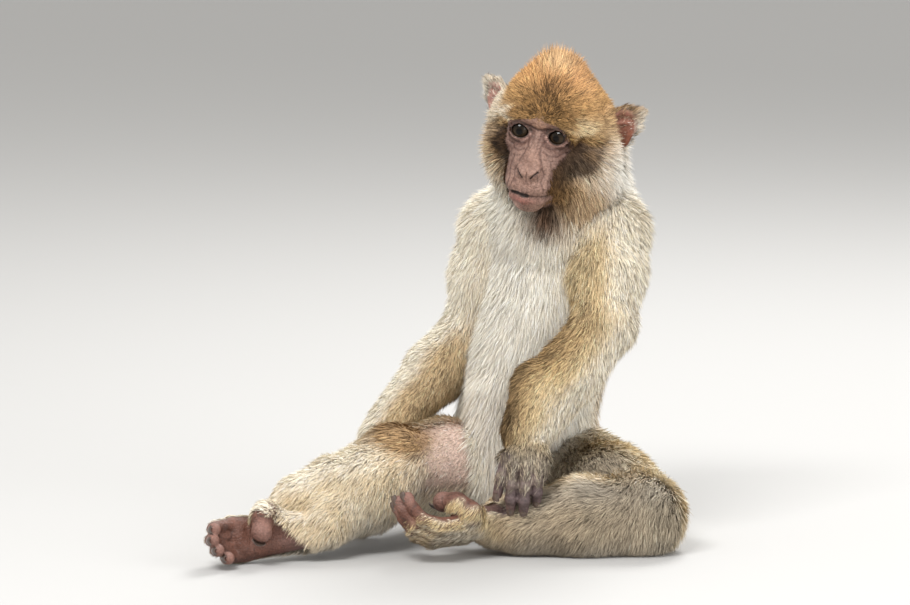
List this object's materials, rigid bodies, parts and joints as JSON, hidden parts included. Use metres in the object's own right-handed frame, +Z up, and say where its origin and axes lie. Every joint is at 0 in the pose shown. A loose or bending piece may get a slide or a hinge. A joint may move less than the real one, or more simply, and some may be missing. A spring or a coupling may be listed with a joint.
{
  "type": "sitting young barbary macaque museum model",
  "caption": "Life-size still model of a young, tailless Barbary macaque that sits upright on the floor, one leg stretched out and one folded.",
  "frame": {"origin": "on the floor under the middle of the whole animal", "axes": "+Z up, -Y the way the animal roughly looks, +X its left side"},
  "size_m": [0.3634, 0.25, 0.3795],
  "materials": {
    "pale_coat": "soft cream-white fur",
    "gold_coat": "short golden-brown fur with dark ticking",
    "tan_coat": "tan fur with dark ticking",
    "skin": "bare wrinkled skin",
    "ear_skin": "thin bare skin",
    "eye": "glossy and dark brown"
  },
  "bodies": {
    "root": {"trunk": "pale_coat", "neck": "pale_coat", "head": "gold_coat", "ear_R": "ear_skin", "eye_R": "eye", "upper_arm_R": "tan_coat", "forearm_R": "tan_coat", "hand_R": "skin", "thigh_R": "tan_coat", "shin_R": "pale_coat", "foot_R": "skin", "ear_L": "ear_skin", "eye_L": "eye", "upper_arm_L": "tan_coat", "forearm_L": "tan_coat", "hand_L": "skin", "thigh_L": "tan_coat", "shin_L": "pale_coat", "foot_L": "skin"}
  },
  "joints": []
}
